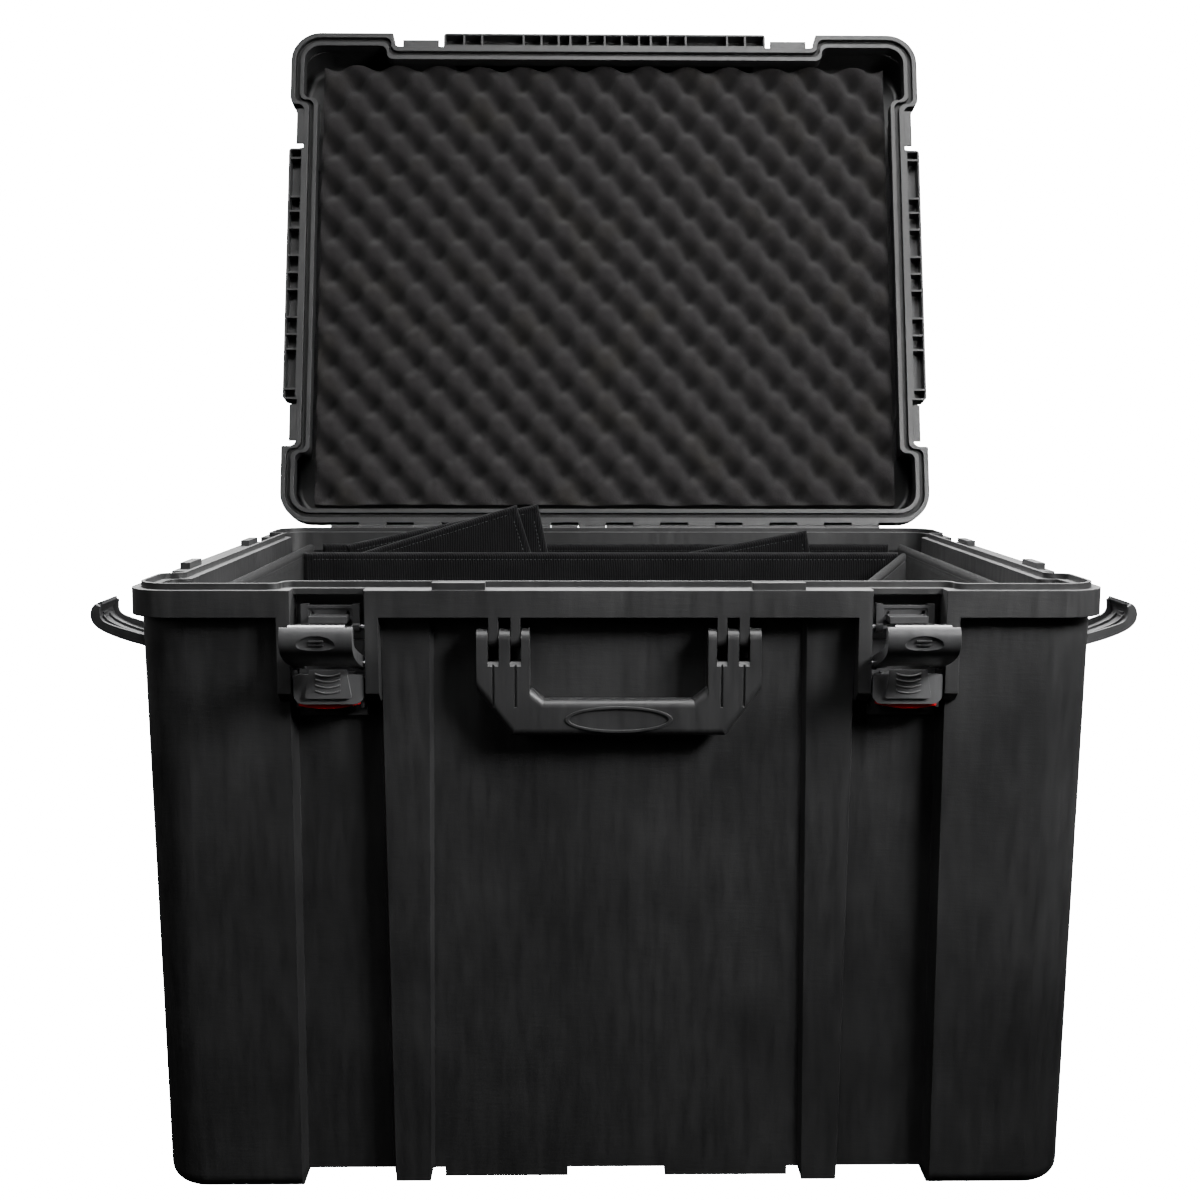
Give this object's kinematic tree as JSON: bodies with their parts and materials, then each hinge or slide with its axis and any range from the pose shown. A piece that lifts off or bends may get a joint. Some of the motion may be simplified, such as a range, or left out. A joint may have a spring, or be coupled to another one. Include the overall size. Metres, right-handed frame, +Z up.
{
  "type": "hard equipment case",
  "caption": "Large open rugged case with a hinged lid, six lever latches, a front carrying handle, egg-crate lid foam and a padded divider interior.",
  "frame": {"origin": "centre of the base footprint, on the surface that the case stands on", "axes": "+Z up, +X to the right when facing the latches, -Y towards the front where the latches are"},
  "size_m": [0.9114, 0.9243, 1.1498],
  "materials": {
    "shell_plastic": "moulded, fine texture",
    "handle_plastic": "moulded, satin",
    "latch_plastic": "moulded, satin",
    "slide_plastic": "moulded, satin",
    "red_plastic": "glossy",
    "steel": "plain",
    "gasket_rubber": "matte",
    "foam": "open-cell foam",
    "liner_fabric": "brushed nylon over foam",
    "divider_fabric": "brushed nylon over foam"
  },
  "bodies": {
    "base": {"base_shell": "shell_plastic", "hinge_pin": "steel", "front_handle_pins": "steel", "liner_front": "liner_fabric", "liner_back": "liner_fabric", "liner_left": "liner_fabric", "liner_right": "liner_fabric", "liner_floor": "liner_fabric", "long_divider": "divider_fabric", "diagonal_divider": "divider_fabric", "loose_divider_tall": "divider_fabric", "loose_divider_low": "divider_fabric", "lever_pins": "steel", "pawl_pins": "steel", "pawl_springs": "steel", "latch_base_left": "latch_plastic", "lock_indicator_left": "red_plastic", "latch_base_side_front_left": "latch_plastic", "lock_indicator_side_front_left": "red_plastic", "latch_base_side_rear_left": "latch_plastic", "lock_indicator_side_rear_left": "red_plastic", "latch_base_right": "latch_plastic", "lock_indicator_right": "red_plastic", "latch_base_side_front_right": "latch_plastic", "lock_indicator_side_front_right": "red_plastic", "latch_base_side_rear_right": "latch_plastic", "lock_indicator_side_rear_right": "red_plastic"},
    "lid": {"lid_shell": "shell_plastic", "lid_gasket": "gasket_rubber", "lid_foam": "foam"},
    "front_handle": {"front_handle": "handle_plastic"},
    "latch_lever_left": {"latch_lever_left": "latch_plastic"},
    "latch_pawl_left": {"latch_pawl_left": "latch_plastic"},
    "lock_slide_left": {"lock_slide_left": "slide_plastic"},
    "latch_lever_side_front_left": {"latch_lever_side_front_left": "latch_plastic"},
    "latch_pawl_side_front_left": {"latch_pawl_side_front_left": "latch_plastic"},
    "lock_slide_side_front_left": {"lock_slide_side_front_left": "slide_plastic"},
    "latch_lever_side_rear_left": {"latch_lever_side_rear_left": "latch_plastic"},
    "latch_pawl_side_rear_left": {"latch_pawl_side_rear_left": "latch_plastic"},
    "lock_slide_side_rear_left": {"lock_slide_side_rear_left": "slide_plastic"},
    "latch_lever_right": {"latch_lever_right": "latch_plastic"},
    "latch_pawl_right": {"latch_pawl_right": "latch_plastic"},
    "lock_slide_right": {"lock_slide_right": "slide_plastic"},
    "latch_lever_side_front_right": {"latch_lever_side_front_right": "latch_plastic"},
    "latch_pawl_side_front_right": {"latch_pawl_side_front_right": "latch_plastic"},
    "lock_slide_side_front_right": {"lock_slide_side_front_right": "slide_plastic"},
    "latch_lever_side_rear_right": {"latch_lever_side_rear_right": "latch_plastic"},
    "latch_pawl_side_rear_right": {"latch_pawl_side_rear_right": "latch_plastic"},
    "lock_slide_side_rear_right": {"lock_slide_side_rear_right": "slide_plastic"}
  },
  "joints": [
    {"name": "lid_hinge", "type": "hinge", "parent": "base", "child": "lid", "pos_m": [0, 0.328, 0.52415], "axis": [1, 0, 0], "range_deg": [0, 104.4]},
    {"name": "front_handle_swing", "type": "hinge", "parent": "base", "child": "front_handle", "pos_m": [0, -0.311, 0.484], "axis": [-1, 0, 0], "range_deg": [0, 90]},
    {"name": "latch_lever_left_swing", "type": "hinge", "parent": "base", "child": "latch_lever_left", "pos_m": [-0.235, -0.312, 0.464], "axis": [-1, 0, 0], "range_deg": [0, 60]},
    {"name": "latch_pawl_left_tilt", "type": "hinge", "parent": "base", "child": "latch_pawl_left", "pos_m": [-0.235, -0.297, 0.492], "axis": [-1, 0, 0], "range_deg": [0, 6], "stiffness_Nm_per_rad": 0.6},
    {"name": "lock_slide_left_travel", "type": "slide", "parent": "base", "child": "lock_slide_left", "axis": [0, 0, -1], "range_m": [0, 0.006]},
    {"name": "latch_lever_side_front_left_swing", "type": "hinge", "parent": "base", "child": "latch_lever_side_front_left", "pos_m": [-0.394, -0.1925, 0.464], "axis": [0, 1, 0], "range_deg": [0, 60]},
    {"name": "latch_pawl_side_front_left_tilt", "type": "hinge", "parent": "base", "child": "latch_pawl_side_front_left", "pos_m": [-0.379, -0.1925, 0.492], "axis": [0, 1, 0], "range_deg": [0, 6], "stiffness_Nm_per_rad": 0.6},
    {"name": "lock_slide_side_front_left_travel", "type": "slide", "parent": "base", "child": "lock_slide_side_front_left", "axis": [0, 0, -1], "range_m": [0, 0.006]},
    {"name": "latch_lever_side_rear_left_swing", "type": "hinge", "parent": "base", "child": "latch_lever_side_rear_left", "pos_m": [-0.394, 0.1925, 0.464], "axis": [0, 1, 0], "range_deg": [0, 60]},
    {"name": "latch_pawl_side_rear_left_tilt", "type": "hinge", "parent": "base", "child": "latch_pawl_side_rear_left", "pos_m": [-0.379, 0.1925, 0.492], "axis": [0, 1, 0], "range_deg": [0, 6], "stiffness_Nm_per_rad": 0.6},
    {"name": "lock_slide_side_rear_left_travel", "type": "slide", "parent": "base", "child": "lock_slide_side_rear_left", "axis": [0, 0, -1], "range_m": [0, 0.006]},
    {"name": "latch_lever_right_swing", "type": "hinge", "parent": "base", "child": "latch_lever_right", "pos_m": [0.235, -0.312, 0.464], "axis": [-1, 0, 0], "range_deg": [0, 60]},
    {"name": "latch_pawl_right_tilt", "type": "hinge", "parent": "base", "child": "latch_pawl_right", "pos_m": [0.235, -0.297, 0.492], "axis": [-1, 0, 0], "range_deg": [0, 6], "stiffness_Nm_per_rad": 0.6},
    {"name": "lock_slide_right_travel", "type": "slide", "parent": "base", "child": "lock_slide_right", "axis": [0, 0, -1], "range_m": [0, 0.006]},
    {"name": "latch_lever_side_front_right_swing", "type": "hinge", "parent": "base", "child": "latch_lever_side_front_right", "pos_m": [0.394, -0.1925, 0.464], "axis": [0, -1, 0], "range_deg": [0, 60]},
    {"name": "latch_pawl_side_front_right_tilt", "type": "hinge", "parent": "base", "child": "latch_pawl_side_front_right", "pos_m": [0.379, -0.1925, 0.492], "axis": [0, -1, 0], "range_deg": [0, 6], "stiffness_Nm_per_rad": 0.6},
    {"name": "lock_slide_side_front_right_travel", "type": "slide", "parent": "base", "child": "lock_slide_side_front_right", "axis": [0, 0, -1], "range_m": [0, 0.006]},
    {"name": "latch_lever_side_rear_right_swing", "type": "hinge", "parent": "base", "child": "latch_lever_side_rear_right", "pos_m": [0.394, 0.1925, 0.464], "axis": [0, -1, 0], "range_deg": [0, 60]},
    {"name": "latch_pawl_side_rear_right_tilt", "type": "hinge", "parent": "base", "child": "latch_pawl_side_rear_right", "pos_m": [0.379, 0.1925, 0.492], "axis": [0, -1, 0], "range_deg": [0, 6], "stiffness_Nm_per_rad": 0.6},
    {"name": "lock_slide_side_rear_right_travel", "type": "slide", "parent": "base", "child": "lock_slide_side_rear_right", "axis": [0, 0, -1], "range_m": [0, 0.006]}
  ]
}
